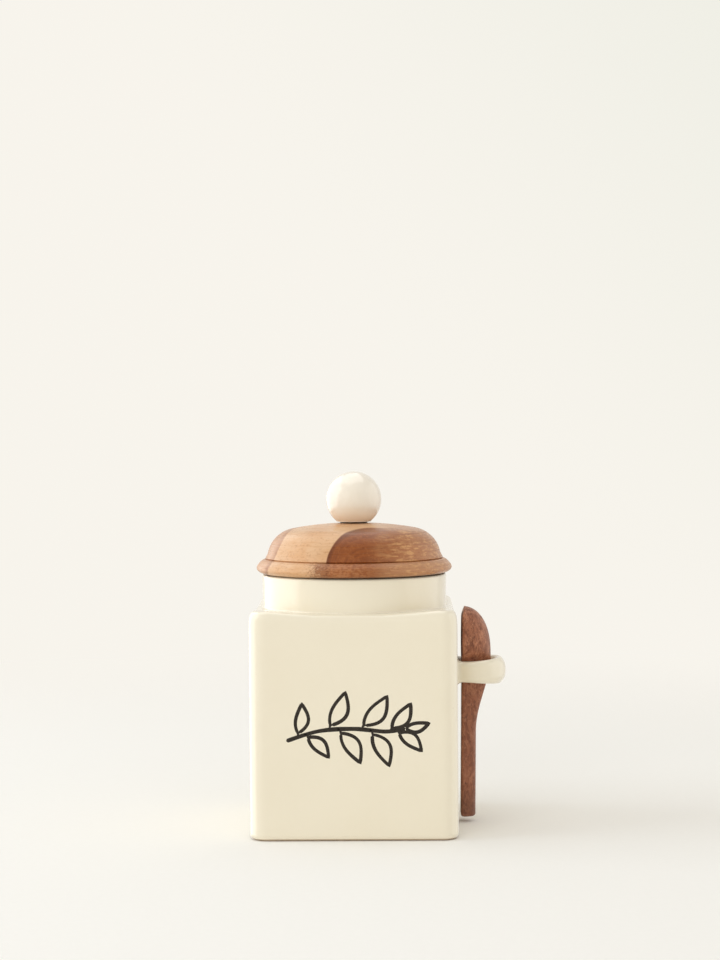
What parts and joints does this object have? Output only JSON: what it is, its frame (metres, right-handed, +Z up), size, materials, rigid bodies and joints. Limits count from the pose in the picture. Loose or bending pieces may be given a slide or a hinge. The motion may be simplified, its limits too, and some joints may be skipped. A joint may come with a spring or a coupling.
{
  "type": "salt jar with spoon",
  "caption": "Square glazed stoneware salt jar with a round neck, a turned wooden lid with a ball knob, and a wooden spoon hanging in a ring on its side.",
  "frame": {"origin": "middle of the foot, in the plane that the jar stands on", "axes": "+Z up along the neck's axis, -Y is the front, +X is the side with the spoon"},
  "size_m": [0.1213, 0.097, 0.1695],
  "materials": {
    "glaze": "glossy cream glaze over stoneware, with a bare foot",
    "knob_glaze": "glossy cream glaze",
    "lid_wood": "oiled, turned, pale sapwood and dark heartwood",
    "spoon_wood": "oiled, carved, dark red-brown",
    "silicone": "translucent white silicone",
    "pad_rubber": "dull dark rubber",
    "brass": "plain turned brass",
    "steel": "bright plated steel"
  },
  "bodies": {
    "jar": {"jar": "glaze", "spoon_ring": "glaze"},
    "seal": {"lid_seal": "silicone"},
    "lid": {"lid": "lid_wood", "knob": "knob_glaze", "knob_insert": "brass", "knob_pad": "pad_rubber", "knob_screw": "steel", "screw_washer": "steel"},
    "spoon": {"spoon": "spoon_wood"}
  },
  "joints": [
    {"name": "lid_lift", "type": "slide", "parent": "jar", "child": "seal", "axis": [0, 0, 1], "range_m": [0, 0.06]},
    {"name": "lid_turn", "type": "hinge", "parent": "seal", "child": "lid", "pos_m": [0, 0, 0.1205], "axis": [0, 0, 1], "continuous": true},
    {"name": "spoon_lift", "type": "slide", "parent": "jar", "child": "spoon", "axis": [0, 0, 1], "range_m": [0, 0.08]}
  ]
}
